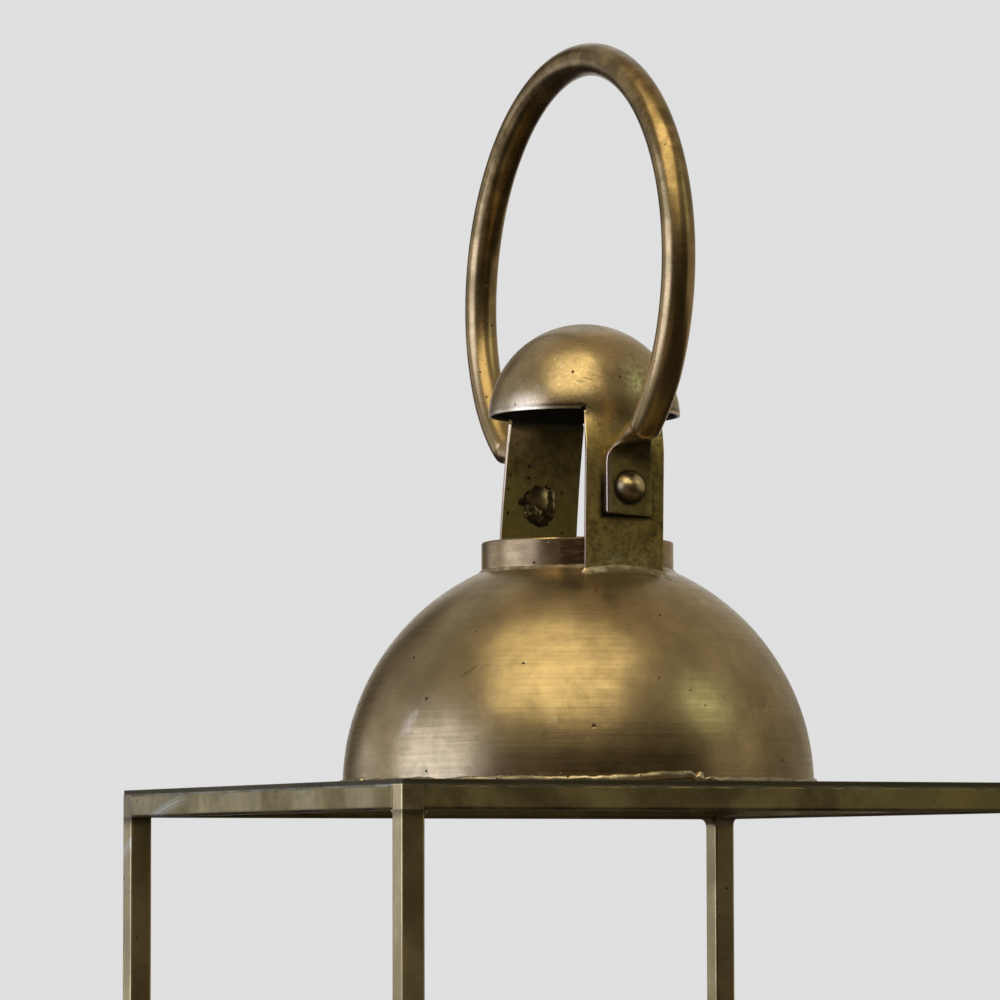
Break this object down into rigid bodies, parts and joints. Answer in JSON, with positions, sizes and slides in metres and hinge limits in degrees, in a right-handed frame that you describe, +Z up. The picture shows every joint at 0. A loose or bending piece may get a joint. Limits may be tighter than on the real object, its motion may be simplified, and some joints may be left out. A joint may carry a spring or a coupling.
{
  "type": "candle lantern",
  "caption": "Square open-frame candle lantern in aged brass, with a spun dome, a vented cap on riveted straps and a large swinging ring handle.",
  "frame": {"origin": "centre of the square footprint, on the surface that the lantern stands on", "axes": "+Z up along the axis of the dome; X from left to right and Y from front to back, square to the frame's sides; the rivets' axis lies along Y"},
  "size_m": [0.3, 0.3, 0.7195],
  "materials": {
    "frame_brass": "square bar, aged and brushed",
    "sheet_brass": "flat sheet, aged, soldered edges",
    "spun_brass": "spun and brushed, aged, satin",
    "cap_brass": "hand-formed sheet, pitted, aged",
    "rivet_brass": "round head, rubbed bright",
    "ring_brass": "bent round bar, aged, rubbed",
    "dish_brass": "pressed sheet, aged",
    "spike_steel": "plain turned steel, dull"
  },
  "bodies": {
    "lantern": {"post_front_left": "frame_brass", "post_front_right": "frame_brass", "post_back_left": "frame_brass", "post_back_right": "frame_brass", "top_rail_front": "frame_brass", "top_rail_back": "frame_brass", "top_rail_left": "frame_brass", "top_rail_right": "frame_brass", "bottom_rail_front": "frame_brass", "bottom_rail_back": "frame_brass", "bottom_rail_left": "frame_brass", "bottom_rail_right": "frame_brass", "roof_plate": "sheet_brass", "dome": "spun_brass", "chimney_collar": "spun_brass", "chimney_cap": "cap_brass", "rivet_front": "rivet_brass", "rivet_back": "rivet_brass", "floor_plate": "sheet_brass", "candle_dish": "dish_brass", "candle_spike": "spike_steel", "spike_nut": "spike_steel"},
    "ring": {"ring_handle": "ring_brass"}
  },
  "joints": [
    {"name": "ring_swing", "type": "hinge", "parent": "lantern", "child": "ring", "pos_m": [0.0017, 0, 0.525], "axis": [0, 1, 0], "range_deg": [-127, 127]}
  ]
}
